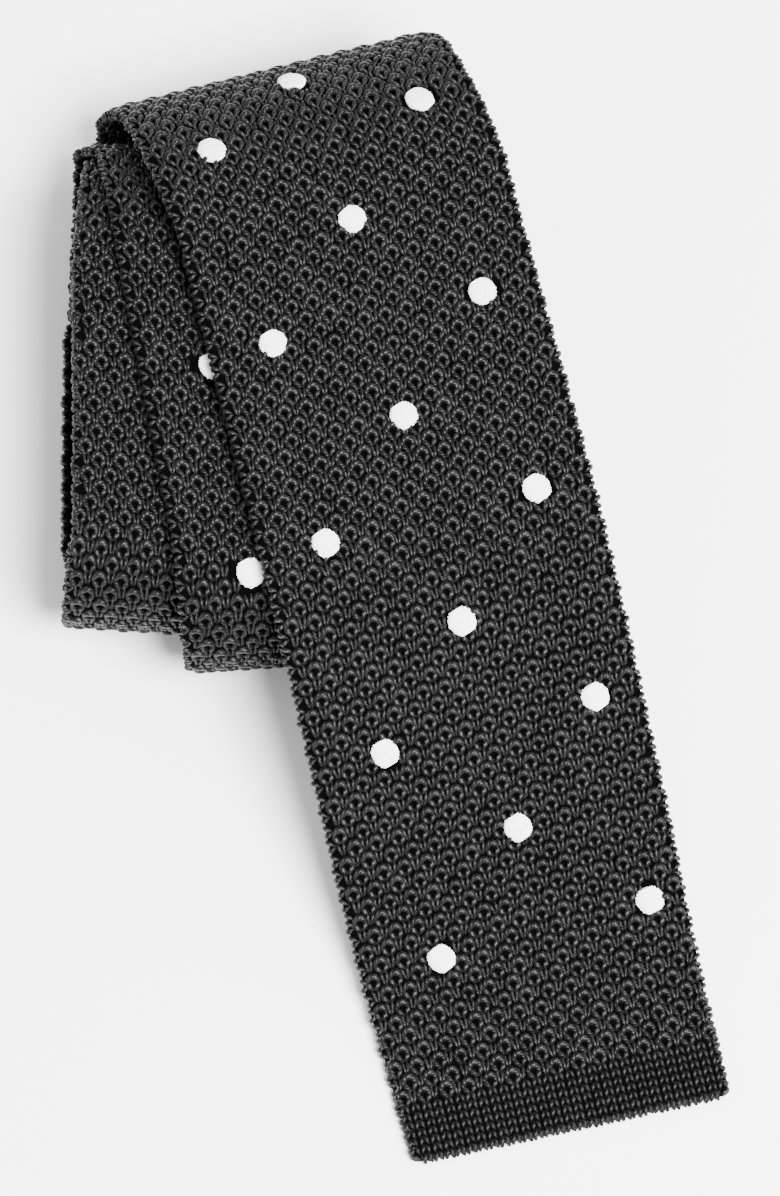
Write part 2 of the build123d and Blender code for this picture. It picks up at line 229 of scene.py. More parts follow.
def lay_top_fold(start, turn, drift):
    tilt = 360.0 * turn
    bottom = layer_height(turn)
    if turn >= TURNS_WITH_SHOULDER:
        return add_arc(start, start[4] + 180.0, (start[2] - bottom) / 2.0, drift)
    low = OUTER_LOW if turn == 0 else (7.0 - turn) * PITCH
    wide = SHOULDER - turn * PITCH
    top = start[2] + wide * (1.0 - cosine(start[4]))
    tight = (top - bottom - low - wide * (1.0 - cosine(SHOULDER_TO))) / cosine(SHOULDER_TO)
    place = add_arc(start, tilt + SHOULDER_TO, wide, drift * 0.42)
    marks[f"shoulder_{turn}"] = path_length()
    place = add_arc(place, tilt + 90.0, tight, drift * 0.45)
    return add_arc(place, tilt + 180.0, low, drift * 0.13)


def lay_roll():
    place = lay_free_blade()
    marks["crest"] = path_length()
    for turn in range(LAYERS // 2):
        tilt = 360.0 * turn
        if turn == 1:
            x, y, theta = THIRD_FOLD
            place = add_straight(place, (x, y, layer_height(LAYERS - 1 - turn), theta, tilt))
        if turn > 1:
            place = add_straight(place, (INNER_X, INNER_TOP_Y, layer_height(LAYERS - 1 - turn), 0.0, tilt))
        drift = (FIRST_DRIFT, THIRD_DRIFT)[turn] if turn < 2 else 0.0
        place = lay_top_fold(place, turn, drift)
        marks[f"under_{turn}"] = path_length()
        if turn == 0:
            x, y, theta = SECOND_FOLD
        elif turn == 1:
            x, y, theta = FOURTH_FOLD
        else:
            x, theta = INNER_X, FOURTH_FOLD[2]
            y = FOURTH_FOLD[1] + (INNER_X - FOURTH_FOLD[0]) * math.tan(math.radians(theta))
        place = add_straight(place, (x, y, layer_height(turn), theta, tilt + 180.0))
        marks[f"bottom_{turn}"] = path_length()
        radius = (layer_height(LAYERS - 2 - turn) - layer_height(turn)) / 2.0
        place = add_arc(place, tilt + 360.0, radius, SECOND_DRIFT if turn == 0 else 0.0)
        marks[f"upper_{turn}"] = path_length()
    left = TIE_LENGTH - path_length()
    add_straight(place, (place[0], place[1] + left, place[2], place[3], place[4]))


lay_roll()


def sample_path(step=0.5):
    """The middle line as a table: s, x, y, z, theta, phi, closely spaced and joined by straight lines."""
    rows = []
    done = 0.0
    for length, start, end, radius, drift in path:
        count = max(2, int(math.ceil(length / step)) + 1)
        for t in np.linspace(0.0, 1.0, count)[:-1]:
            theta = start[3] + (end[3] - start[3]) * t
            phi = start[4] + (end[4] - start[4]) * t
            if radius is None:
                x, y, z = (start[i] + (end[i] - start[i]) * t for i in range(3))
            else:
                forward = radius * (sine(phi) - sine(start[4]))
                x = start[0] - forward * sine(theta) + drift * t * cosine(theta)
                y = start[1] + forward * cosine(theta) + drift * t * sine(theta)
                z = start[2] + radius * (cosine(phi) - cosine(start[4]))
            rows.append((done + length * t, x, y, z, theta, phi))
        done += length
    rows.append((done,) + tuple(path[-1][2]))
    return np.array(rows)


table = sample_path()


def lay(s, u, h):
    """Points of the strip, in metres in the frame's axes."""
    s, u, h = (np.asarray(value, float) for value in (s, u, h))
    inside = np.clip(s, 0.0, TIE_LENGTH)
    x, y, z, theta, phi = (np.interp(inside, table[:, 0], table[:, i]) for i in range(1, 6))
    theta, phi = np.radians(theta), np.radians(phi)
    across = np.stack([np.cos(theta), np.sin(theta), np.zeros_like(theta)], -1)
    ahead = np.stack([-np.sin(theta), np.cos(theta), np.zeros_like(theta)], -1)
    up = np.zeros_like(across)
    up[..., 2] = 1.0
    face = np.cos(phi)[..., None] * up + np.sin(phi)[..., None] * ahead
    along = np.cos(phi)[..., None] * ahead - np.sin(phi)[..., None] * up
    point = np.stack([x, y, z], -1) + across * u[..., None] + face * h[..., None]
    point = point + along * (s - inside)[..., None]
    return (point + np.array(TO_FRAME)) / 1000.0


# ======================= mesh helpers =======================
def make_piece(name, verts, faces, material, yarn=None):
    """A mesh piece from arrays; yarn is a pair of values per vertex: turn round the yarn, length along it."""
    mesh = bpy.data.meshes.new(name)
    faces = np.asarray(faces, np.int32)
    mesh.vertices.add(len(verts))
    mesh.vertices.foreach_set("co", np.asarray(verts, np.float32).ravel())
    mesh.loops.add(faces.size)
    mesh.loops.foreach_set("vertex_index", faces.ravel())
    mesh.polygons.add(len(faces))
    mesh.polygons.foreach_set("loop_start", np.arange(len(faces), dtype=np.int32) * faces.shape[1])
    mesh.polygons.foreach_set("loop_total", np.full(len(faces), faces.shape[1], np.int32))
    mesh.update(calc_edges=True)
    mesh.polygons.foreach_set("use_smooth", np.ones(len(faces), bool))
    if yarn is not None:
        attribute = mesh.attributes.new("yarn", "FLOAT_VECTOR", "POINT")
        attribute.data.foreach_set("vector", np.asarray(yarn, np.float32).ravel())
    mesh.materials.append(material)
    piece = bpy.data.objects.new(name, mesh)
    bpy.context.scene.collection.objects.link(piece)
    return piece


def tube(points, radii, sides):
    """Vertices, quad faces and yarn coordinates of a tube along points (v, u, h), mm."""
    points = np.asarray(points, float)
    n = len(points)
    radii = np.broadcast_to(np.asarray(radii, float), (n,))
    tangent = np.gradient(points, axis=0)
    tangent /= np.linalg.norm(tangent, axis=1)[:, None]
    up = np.array([0.0, 0.0, 1.0])
    side = np.cross(tangent, up)
    side /= np.maximum(np.linalg.norm(side, axis=1)[:, None], 1e-6)
    lift = np.cross(side, tangent)
    angles = 2.0 * np.pi * np.arange(sides) / sides
    ring = (side[:, None, :] * np.cos(angles)[None, :, None] +
            lift[:, None, :] * np.sin(angles)[None, :, None])
    verts = (points[:, None, :] + ring * radii[:, None, None]).reshape(-1, 3)
    faces = []
    for i in range(n - 1):
        for k in range(sides):
            m = (k + 1) % sides
            faces.append((i * sides + k, i * sides + m, (i + 1) * sides + m, (i + 1) * sides + k))
    run = np.concatenate([[0.0], np.cumsum(np.linalg.norm(np.diff(points, axis=0), axis=1))])
    yarn = np.zeros((n * sides, 3))
    yarn[:, 0] = np.tile(np.arange(sides) / sides, n)
    yarn[:, 1] = np.repeat(run, sides)
    return verts, np.array(faces), yarn


def curve(points, count):
    """A smooth line through a few points, Catmull-Rom."""
    p = np.asarray(points, float)
    longer = np.vstack([2 * p[0] - p[1], p, 2 * p[-1] - p[-2]])
    spans = len(p) - 1
    out = []
    for t in np.linspace(0.0, spans, count):
        i = min(int(t), spans - 1)
        f = t - i
        a, b, c, d = longer[i:i + 4]
        out.append(0.5 * ((2 * b) + (c - a) * f + (2 * a - 5 * b + 4 * c - d) * f ** 2 +
                          (3 * b - a - 3 * c + d) * f ** 3))
    return np.array(out)


def join(parts):
    """One set of arrays from several (verts, faces, yarn)."""
    verts, faces, yarn, base = [], [], [], 0
    for v, f, y in parts:
        verts.append(v)
        faces.append(np.asarray(f) + base)
        yarn.append(y)
        base += len(v)
    return np.vstack(verts), np.vstack(faces), np.vstack(yarn)


def instance(template, s, u, side, wobble=0.09):
    """Lay a stitch template at every (s, u); side +1 is the face, -1 the back."""
    verts, faces, yarn = template
    count, n = len(s), len(verts)
    jitter = rng.normal(0.0, wobble, (count, 3))
    grow = 1.0 + rng.normal(0.0, SIZE_SPREAD, (count, 1))
    turn = rng.normal(0.0, TURN_SPREAD, (count, 1))
    dv = verts[None, :, 0] * grow + verts[None, :, 1] * turn + jitter[:, 0:1]
    du = verts[None, :, 1] * grow - verts[None, :, 0] * turn + jitter[:, 1:2]
    dh = verts[None, :, 2] + 0.5 * jitter[:, 2:3]
    surface = THICK / 2.0 - KNIT_DEPTH
    points = lay(s[:, None] + dv, u[:, None] + du * side, side * (surface + dh))
    all_faces = faces[None] + (np.arange(count) * n)[:, None, None]
    if side < 0:
        all_faces = all_faces[..., ::-1]
    tone = np.repeat(rng.uniform(0.0, 1.0, count), n)
    all_yarn = np.tile(yarn, (count, 1))
    all_yarn[:, 2] = tone
    return points.reshape(-1, 3), all_faces.reshape(-1, 4), all_yarn


# ======================= materials =======================
PLIES = 3.0                             # strands twisted into one yarn
YARN_SHEEN_TINT = (0.86, 0.85, 0.84)
YARN_SHEEN_ROUGH = 0.35
FIBRE_SCALE = 2600.0
LOOP_TONE = 0.45                        # how much the loops differ in tone
STRAND_RELIEF = 0.00012                 # metres
GRAIN_RELIEF = 0.0002                   # metres
GROUND_SPECULAR = 0.02


def node_material(name, base, rough, sheen, sheen_rough=0.4, specular=0.5):
    material = bpy.data.materials.new(name)
    material.use_nodes = True
    shader = material.node_tree.nodes["Principled BSDF"]
    shader.inputs["Base Color"].default_value = base + (1.0,)
    shader.inputs["Roughness"].default_value = rough
    shader.inputs["Sheen Weight"].default_value = sheen
    shader.inputs["Sheen Roughness"].default_value = sheen_rough
    shader.inputs["Specular IOR Level"].default_value = specular
    return material, material.node_tree, shader


def yarn_material(name, dark, light, rough, sheen, twist, bump, specular=0.5):
    """Twisted filament yarn: fine slanting strands round every loop, with painted shade in the grooves
    between them; each loop a little lighter or darker.
    """
    material, tree, shader = node_material(name, light, rough, sheen, YARN_SHEEN_ROUGH, specular)
    nodes, links = tree.nodes, tree.links
    shader.inputs["Sheen Tint"].default_value = YARN_SHEEN_TINT + (1.0,)
    source = nodes.new("ShaderNodeAttribute")
    source.attribute_name = "yarn"
    split = nodes.new("ShaderNodeSeparateXYZ")
    links.new(source.outputs["Vector"], split.inputs[0])
    slant = nodes.new("ShaderNodeMath")
    slant.operation = "MULTIPLY_ADD"
    slant.inputs[1].default_value = twist
    links.new(split.outputs["Y"], slant.inputs[0])
    around = nodes.new("ShaderNodeMath")
    around.operation = "MULTIPLY"
    around.inputs[1].default_value = PLIES * 2.0 * math.pi
    links.new(split.outputs["X"], around.inputs[0])
    links.new(around.outputs[0], slant.inputs[2])
    wave = nodes.new("ShaderNodeMath")
    wave.operation = "SINE"
    links.new(slant.outputs[0], wave.inputs[0])
    half = nodes.new("ShaderNodeMath")
    half.operation = "MULTIPLY_ADD"
    half.inputs[1].default_value = 0.5
    half.inputs[2].default_value = 0.5
    links.new(wave.outputs[0], half.inputs[0])
    fibre = nodes.new("ShaderNodeTexNoise")
    fibre.inputs["Scale"].default_value = FIBRE_SCALE
    fibre.inputs["Detail"].default_value = 2.0
    place = nodes.new("ShaderNodeTexCoord")
    links.new(place.outputs["Object"], fibre.inputs["Vector"])
    # painted shade: the yarn's colour follows the strand wave of the bump, darker in the grooves between the
    # strands and lighter on their crests, times the fibre grain
    grain_and_groove_shade = nodes.new("ShaderNodeMath")
    grain_and_groove_shade.operation = "MULTIPLY"
    links.new(half.outputs[0], grain_and_groove_shade.inputs[0])
    links.new(fibre.outputs["Fac"], grain_and_groove_shade.inputs[1])
    mix = nodes.new("ShaderNodeMix")
    mix.data_type = "RGBA"
    mix.inputs["A"].default_value = dark + (1.0,)
    mix.inputs["B"].default_value = light + (1.0,)
    tone = nodes.new("ShaderNodeMath")
    tone.operation = "MULTIPLY_ADD"
    tone.inputs[1].default_value = LOOP_TONE
    links.new(split.outputs["Z"], tone.inputs[0])
    links.new(grain_and_groove_shade.outputs[0], tone.inputs[2])
    links.new(tone.outputs[0], mix.inputs["Factor"])
    links.new(mix.outputs["Result"], shader.inputs["Base Color"])
    relief = nodes.new("ShaderNodeBump")
    relief.inputs["Strength"].default_value = bump
    relief.inputs["Distance"].default_value = STRAND_RELIEF
    links.new(half.outputs[0], relief.inputs["Height"])
    links.new(relief.outputs["Normal"], shader.inputs["Normal"])
    return material


def cloth_material(name, dark, light, rough, scale):
    """A cloth with a fine fibrous grain, for the ground between the loops (its near-black colours there are
    painted shade of the holes between the stitches) and for the ribbon.
    """
    material, tree, shader = node_material(name, light, rough, 0.0, specular=GROUND_SPECULAR)
    nodes, links = tree.nodes, tree.links
    place = nodes.new("ShaderNodeTexCoord")
    grain = nodes.new("ShaderNodeTexNoise")
    grain.inputs["Scale"].default_value = scale
    grain.inputs["Detail"].default_value = 3.0
    links.new(place.outputs["Object"], grain.inputs["Vector"])
    mix = nodes.new("ShaderNodeMix")
    mix.data_type = "RGBA"
    mix.inputs["A"].default_value = dark + (1.0,)
    mix.inputs["B"].default_value = light + (1.0,)
    links.new(grain.outputs["Fac"], mix.inputs["Factor"])
    links.new(mix.outputs["Result"], shader.inputs["Base Color"])
    relief = nodes.new("ShaderNodeBump")
    relief.inputs["Strength"].default_value = 0.5
    relief.inputs["Distance"].default_value = GRAIN_RELIEF
    links.new(grain.outputs["Fac"], relief.inputs["Height"])
    links.new(relief.outputs["Normal"], shader.inputs["Normal"])
    return material


BLACK_YARN = yarn_material("black_yarn", dark=(0.0008, 0.0008, 0.0008), light=(0.0078, 0.0078, 0.0077),
                           rough=0.42, sheen=0.022, twist=7.0, bump=0.6, specular=0.175)
HEM_YARN = yarn_material("hem_yarn", dark=(0.0008, 0.0008, 0.0008), light=(0.0058, 0.0058, 0.0057),
                         rough=0.44, sheen=0.016, twist=7.0, bump=0.5, specular=0.13)
SEAM_YARN = yarn_material("seam_yarn", dark=(0.002, 0.002, 0.002), light=(0.014, 0.014, 0.016),
                          rough=0.45, sheen=0.05, twist=9.0, bump=0.5, specular=0.3)
WHITE_THREAD = yarn_material("white_thread", dark=(0.80, 0.78, 0.88), light=(0.96, 0.95, 0.98),
                             rough=0.38, sheen=0.1, twist=9.0, bump=0.5)
# painted shade: the ground under the loops is coloured darker than the yarn itself, to stand for the shade in
# the holes between the stitches
GROUND_PAINTED_SHADE = cloth_material("knit_ground_painted_shade", dark=(0.0003, 0.0003, 0.0003), light=(0.0008, 0.0008, 0.0008),
                        rough=0.95, scale=1500.0)
RIBBON = cloth_material("woven_ribbon", dark=(0.008, 0.008, 0.009), light=(0.022, 0.022, 0.026),
                        rough=0.5, scale=2500.0)

# ======================= the cloth ground =======================
ROUND_POINTS = 8        # points round each side edge of the cloth
FLAT_POINTS = 7         # points across each of its faces
END_INSET = 0.5         # from the end of the strip to the end of the cloth


def ground_outline(s):
    """Closed outline of the cloth at s, rounded at both side edges: arrays of u and h."""
    a = float(half_width(s) - edge_inset(s)) - GROUND_INSET
    t = THICK / 2.0 - GROUND_DEPTH
    turns = np.linspace(-0.5 * np.pi, 0.5 * np.pi, ROUND_POINTS)
    right_u, right_h = a - t + t * np.cos(turns), t * np.sin(turns)
    across = np.linspace(a - t, t - a, FLAT_POINTS + 2)[1:-1]
    u = np.concatenate([right_u, across, -right_u[::-1], across[::-1]])
    h = np.concatenate([right_h, np.full(FLAT_POINTS, t), right_h[::-1], np.full(FLAT_POINTS, -t)])
    return u, h


def cloth_length(name, first, last):
    """A closed length of the double cloth."""
    inner_first = first + (END_INSET if first <= 0.0 else 0.0)
    inner_last = last - (END_INSET if last >= TIE_LENGTH else 0.0)
    stops = np.linspace(inner_first, inner_last, max(3, int((inner_last - inner_first) / GROUND_STEP)))
    rows = []
    for s in stops:
        u, h = ground_outline(s)
        rows.append(lay(np.full(len(u), s), u, h))
    n = len(rows[0])
    verts = np.vstack(rows)
    faces = []
    for i in range(len(stops) - 1):
        for k in range(n):
            m = (k + 1) % n
            faces.append((i * n + k, (i + 1) * n + k, (i + 1) * n + m, i * n + m))
    # close both ends with a row of quads from one side edge to the other
    middle = ROUND_POINTS // 2
    for base, flip in ((0, False), ((len(stops) - 1) * n, True)):
        for k in range(middle, middle + n // 2 - 1):
            facing = ROUND_POINTS - 1 - k
            quad = (base + k, base + k + 1, base + (facing - 1) % n, base + facing % n)
            faces.append(quad[::-1] if flip else quad)
    return make_piece(name, verts, faces, GROUND_PAINTED_SHADE)


# ======================= the dots =======================
def dot_places(first_row, last_row, single=False, shift=0.0):
    """(s, u) of the dots: rows of one in the middle and rows of two beside it take turns."""
    places = []
    row, s = 0, first_row
    while s < last_row:
        columns = (DOT_MIDDLE,)
        if not single and row % 2 == 0:
            columns = (DOT_MIDDLE - DOT_COLUMN, DOT_MIDDLE + DOT_COLUMN)
        for u in columns:
            lean = DOT_TILT * max(0.0, 1.0 - s / TILT_UNTIL)
            places.append((s + lean * u, u + DOT_SKEW * max(0.0, SKEW_UNTIL - s) + shift))
        row += 1
        s += DOT_PERIOD / 2.0
    return places


front_dots = dot_places(*FRONT_DOTS)
fold_dot = dot_places(FOLD_DOT, FOLD_DOT + 1.0, True)
behind_dots = dot_places(FOLD_DOT + DOT_PERIOD / 2.0, FOLD_DOT + DOT_PERIOD / 2.0 + 1.0)
roll_dots = dot_places(*ROLL_DOTS, shift=ROLL_DOT_SHIFT)
all_dots = np.array(front_dots + fold_dot + behind_dots + roll_dots)


def dot_dome(proud):
    """The padded dome under the threads of a dot, so that no knit shows between them."""
    around = DOT_DOME_AROUND
    circles = []
    for r in range(DOT_DOME_RINGS + 1):
        radius = DOT_RADIUS * 0.97 * (r + 0.15) / (DOT_DOME_RINGS + 0.15)
        height = proud * math.sqrt(max(0.0, 1.0 - (radius / DOT_RADIUS) ** 2)) - 0.22
        circles.append((radius, height))
    circles.append((DOT_RADIUS * 0.95, -0.6))
    verts = []
    for radius, height in circles:
        for k in range(around):
            angle = 2.0 * math.pi * k / around
            verts.append((radius * math.cos(angle), radius * math.sin(angle), height))
    faces = []
    for r in range(len(circles) - 1):
        for k in range(around):
            m = (k + 1) % around
            faces.append((r * around + k, r * around + m, (r + 1) * around + m, (r + 1) * around + k))
    return np.array(verts), np.array(faces), np.full((len(verts), 3), 0.5)


def stitch_dot(s, u, proud):
    """A round patch of satin stitch: threads side by side over a low padded dome."""
    parts = []
    turn = math.radians(DOT_THREAD_SLANT + rng.normal(0.0, 4.0))
    pitch = 2.0 * DOT_RADIUS / DOT_THREADS
    for i in range(DOT_THREADS):
        y = DOT_FILL * (-DOT_RADIUS + (i + 0.5) * pitch)
        reach = DOT_FILL * math.sqrt(max(0.0, DOT_RADIUS ** 2 - y ** 2))
        reach = reach * (1.0 + rng.normal(0.0, 0.035)) + 0.05
        xs = np.linspace(-reach, reach, 9)
        dome = 1.0 - (xs ** 2 + y ** 2) / (DOT_RADIUS ** 2 * 1.12)
        hs = proud * np.sqrt(np.clip(dome, 0.0, 1.0)) - 0.12 + rng.normal(0.0, 0.02)
        hs[0] -= 0.22
        hs[-1] -= 0.22
        ys = y + rng.normal(0.0, 0.02) + 0.05 * np.sin(xs * 1.3 + i)
        points = np.stack([xs * math.sin(turn) + ys * math.cos(turn),
                           xs * math.cos(turn) - ys * math.sin(turn), hs], -1)
        thread, faces, yarn = tube(points, DOT_THREAD_RADIUS, 6)
        yarn[:, 2] = rng.uniform(0.2, 1.0)
        parts.append((thread, faces, yarn))
    parts.append(dot_dome(proud))
    verts, faces, yarn = join(parts)
    points = lay(s + verts[:, 0], u + verts[:, 1], THICK / 2.0 + verts[:, 2])
    return points, faces, yarn


def make_dots(name, places, proud, body, node):
    verts, faces, turns = join([stitch_dot(s, u, proud) for s, u in places])
    piece = make_piece(name, verts, faces, WHITE_THREAD, turns)
    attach(piece, body)
    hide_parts(node)
    return piece


# ======================= the stitches =======================
def shield_template(cap_count, lobe_count, sides):
    """One large fancy stitch: a fat raised arch over two short lobes that lean together below it."""
    cap = curve([(-0.50, -1.08, -0.20), (0.16, -1.02, 0.08), (0.80, -0.58, 0.24), (1.04, 0.0, 0.30),
                 (0.80, 0.58, 0.24), (0.16, 1.02, 0.08), (-0.50, 1.08, -0.20)], cap_count)
    swell = 0.26 + 0.40 * np.sin(np.pi * np.linspace(0.0, 1.0, cap_count))
    parts = [tube(cap, swell, sides)]
    for sign in (-1.0, 1.0):
        lobe = curve([(-0.05, sign * 1.18, -0.22), (-0.55, sign * 0.94, 0.14), (-1.10, sign * 0.56, 0.12),
                      (-1.62, sign * 0.12, -0.26)], lobe_count)
        swell = 0.18 + 0.34 * np.sin(np.pi * np.linspace(0.06, 0.94, lobe_count))
        parts.append(tube(lobe, swell, sides))
    return join(parts)


def legs_template(count, sides):
    """The small stitch between two large ones: two slim lobes in a V."""
    parts = []
    for sign in (-1.0, 1.0):
        line = curve([(1.30, sign * 0.58, -0.30), (0.60, sign * 0.48, 0.0), (-0.40, sign * 0.30, 0.0),
                      (-1.20, sign * 0.10, -0.34)], count)
        swell = 0.15 + 0.22 * np.sin(np.pi * np.linspace(0.06, 0.94, count))
        parts.append(tube(line, swell, sides))
    return join(parts)


def arch_template(count, sides):
    """One plain stitch of the hem: two leaf-shaped lobes leaning together at the top."""
    parts = []
    for sign in (-1.0, 1.0):
        line = curve([(-0.86, sign * 0.66, -0.26), (-0.30, sign * 0.56, 0.04), (0.30, sign * 0.34, 0.06),
                      (0.78, sign * 0.10, -0.24)], count)
        swell = 0.16 + 0.26 * np.sin(np.pi * np.linspace(0.05, 0.95, count))
        parts.append(tube(line, swell, sides))
    return join(parts)


# the large and the small fancy stitch, with more and with fewer points
FINE = (shield_template(8, 5, 6), legs_template(5, 5))
PLAIN = (shield_template(5, 4, 4), legs_template(3, 4))
FANCY_START = (0.0, CELL_U / 2.0)       # across the strip, where each of the two starts
FANCY_MARGIN = (1.45, 0.95)             # and how far it stays from the side edges
FIRST_COURSE = HEM_BAND + 1.7
DOT_OVERLAP = -0.3      # stitches stay outside the dots' radius and this much, on the free cloth,
DOT_CLEAR = 0.5         # and on the roll
HEM_STITCH = arch_template(6, 6)
SEAM_STITCH = legs_template(4, 5)


def stitch_places(first, last, start, margin, right, clear):
    """(s, u) of the fancy stitches between two lengths: every second course is offset half a cell."""
    out = []
    k = max(0, int(math.ceil((first - FIRST_COURSE) / (CELL_S / 2.0) - 1e-6)))
    while FIRST_COURSE + k * CELL_S / 2.0 < last:
        s = FIRST_COURSE + k * CELL_S / 2.0
        a = float(half_width(s)) - margin
        offset = start + 0.5 * CELL_U * (k % 2)
        count = int(a // CELL_U) + 2
        for j in range(-count, count + 1):
            u = j * CELL_U + offset
            if abs(u) > a or u > right:
                continue
            near = np.hypot(all_dots[:, 0] - s, all_dots[:, 1] - u)
            if near.min() >= DOT_RADIUS + clear:
                out.append((s, u))
        k += 1
    return np.array(out).reshape(-1, 2)


def edge_stitch(slant, thin, count, sides, reach):
    """A stitch rolled over the edge of a knit from its face to its back; v along the edge, u outwards."""
    t = THICK / 2.0 - KNIT_DEPTH
    line = curve([(-0.75 * slant, -reach, t - 0.30), (-0.35 * slant, -1.0, t + 0.02), (0.0, -0.50, 0.55 * t),
                  (0.1 * slant, -0.42, 0.0), (0.0, -0.50, -0.55 * t), (-0.35 * slant, -1.0, -t - 0.02),
                  (-0.75 * slant, -reach, 0.30 - t)], count)
    return tube(line, thin + 0.24 * np.sin(np.pi * np.linspace(0.0, 1.0, count)), sides)


def spread(template, count, place):
    """Copies of a template, each put in its place by place(v, u, h, jitter)."""
    verts, faces, yarn = template
    n = len(verts)
    jitter = rng.normal(0.0, 0.07, (count, 2))
    points = place(verts[None, :, 0] + jitter[:, 0:1], verts[None, :, 1] + jitter[:, 1:2],
                   verts[None, :, 2] + np.zeros((count, 1)))
    all_yarn = np.tile(yarn, (count, 1))
    all_yarn[:, 2] = np.repeat(rng.uniform(0.0, 1.0, count), n)
    all_faces = (faces[None] + (np.arange(count) * n)[:, None, None]).reshape(-1, 4)
    return points.reshape(-1, 3), all_faces, all_yarn


def edge_chain(first, last):
    """Round stitches over both side edges, from the face to the back; neighbours lean opposite ways."""
    step = CELL_S / 4.0
    stops = np.arange(math.ceil(first / step) * step, last, step)
    stops = stops[(stops > 0.4) & (stops < TIE_LENGTH - 0.4)]
    parts = []
    for sign in (-1.0, 1.0):
        for slant, some in ((1.0, stops[0::2]), (-0.8, stops[1::2] - 0.25)):
            a = (half_width(some) - edge_inset(some))[:, None]
            points, faces, turns = spread(edge_stitch(slant, 0.24, 9, 6, 1.70), len(some),
                                          lambda v, u, h: lay(some[:, None] + v, sign * (a + u), h))
            parts.append((points, faces[:, ::-1] if sign < 0 else faces, turns))
    return join(parts)


def end_chain():
    """Fine stitches over the straight end of the front hem."""
    a = float(half_width(0.0)) - CORNER * 0.6
    across = np.arange(-a, a, HEM_WALE / 2.0)
    inset = np.where(np.abs(across) > a - 1.2, 0.35, 0.0)[:, None]
    return spread(edge_stitch(0.3, 0.10, 8, 5, 1.25), len(across),
                  lambda v, u, h: lay(inset - u, across[:, None] + v, h))


def hem_stitches(first, last, side):
    """Plain knit over a hem band."""
    rows = int((last - first) / HEM_COURSE)
    out = []
    for k in range(rows + 1):
        s = first + HEM_FIRST_ROW + k * (last - first - HEM_ENDS) / rows
        a = float(half_width(s) - edge_inset(s)) - HEM_MARGIN
        count = int(a // HEM_WALE)
        for j in range(-count, count + 1):
            out.append((s, j * HEM_WALE))
    out = np.array(out)
    return instance(HEM_STITCH, out[:, 0], out[:, 1], side, wobble=0.035)


def knit_yarn(name, first, last, face=FINE, back=PLAIN, right=BLADE_WIDTH, clear=DOT_OVERLAP):
    """All the yarn of a length of the strip as one piece; its face and back have fancy stitches or none."""
    parts = [edge_chain(first, last)]
    start, end = max(first, HEM_BAND), min(last, TIE_LENGTH - HEM_BAND)
    for templates, side in ((face, 1), (back, -1)):
        if templates is None:
            continue
        for template, across, margin in zip(templates, FANCY_START, FANCY_MARGIN):
            places = stitch_places(start, end, across, margin, right, clear)
            if len(places):
                parts.append(instance(template, places[:, 0], places[:, 1], side))
    verts, faces, yarn = join(parts)
    return make_piece(name, verts, faces, BLACK_YARN, yarn)


# ======================= the lengths of the tie =======================
crest, under = marks["crest"], marks["under_0"]
quarter = math.radians(45.0) * OUTER_LOW
WIDE = 13.0             # how far a bend of the free blade spreads to each side of its hinge line
TIGHT = 6.0             # and a bend of the first fold
NOSE_ABOVE = 0.5        # the bend at the nose lies below its hinge line, clear of the roll,
NOSE_BELOW = 19.5       # and spreads this far
SEAM_STEP = 1.9
UNDER_END = 30.0        # the last of these lengths runs this far under the roll
# where each hinge line is, its two bodies, and how far the bend spreads to each side of it
HINGES = [(END_CUT, "blade_lower", "blade_end", WIDE, WIDE),
          (LIFT_CUT, "blade_middle", "blade_lower", WIDE, WIDE),
          (NOSE_CUT, "blade_upper", "blade_middle", NOSE_ABOVE, NOSE_BELOW),
          (crest, "fold_1", "blade_upper", WIDE, WIDE),
          (marks["shoulder_0"], "fold_2", "fold_1", TIGHT, TIGHT),
          (under - 2.0 * quarter, "fold_3", "fold_2", TIGHT, TIGHT),
          (under - quarter, "fold_4", "fold_3", TIGHT, TIGHT),
          (under, "roll", "fold_4", TIGHT, TIGHT)]
splits = [0.0]
for (a, *_), (b, *_) in zip(HINGES[:-1], HINGES[1:]):
    splits.append((a + b) / 2.0)
splits[4] = marks["shoulder_0"] - WIDE
splits.append(under + UNDER_END)
NODES = [["blade_end_knit", "front_hem_band", "front_hem_linking"], ["blade_lower_knit"],
         ["blade_middle_knit"], ["blade_upper_knit"], ["fold_1_knit"], ["fold_2_knit"], ["fold_3_knit"],
         ["fold_4_knit"]]
NAMES = ["hem", "lower", "middle", "upper", "crest", "fold_high", "fold_middle", "fold_low"]
SEAMS = ["blade_end_seam", "blade_lower_seam", "blade_middle_seam", "blade_upper_seam", "fold_1_seam",
         "fold_2_seam", "fold_3_seam", "fold_4_seam"]


def across_hinge(piece, hinge):
    """Bakes the piece's placement into its mesh."""
    s, parent, child, before, after = hinge
    tuple(lay(s + before, 0.0, 0.0))
    tuple(lay(s - after, 0.0, 0.0))
    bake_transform(piece)


for i, hinge in enumerate(HINGES):
    first, last = splits[i], splits[i + 1]
    cloth = cloth_length(f"cloth_{NAMES[i]}", first, last)
    yarn = knit_yarn(f"knit_{NAMES[i]}", first, last)
    pieces = [yarn]
    seam_s = np.arange(max(first, HEM_BAND) + 0.6, last, SEAM_STEP)
    verts, faces, turns = instance(SEAM_STITCH, seam_s, 0.0 * seam_s, -1, wobble=0.03)
    seam = make_piece(f"seam_{NAMES[i]}", verts, faces, SEAM_YARN, turns)
    pieces.append(seam)
    if i == 0:
        parts = [hem_stitches(0.0, HEM_BAND, 1), hem_stitches(0.0, HEM_BAND, -1), end_chain()]
        verts, faces, turns = join(parts)
        pieces.append(make_piece("knit_hem_band", verts, faces, HEM_YARN, turns))
    for piece in [cloth] + pieces:
        across_hinge(piece, hinge)
    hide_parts(*NODES[i])
    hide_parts(SEAMS[i])

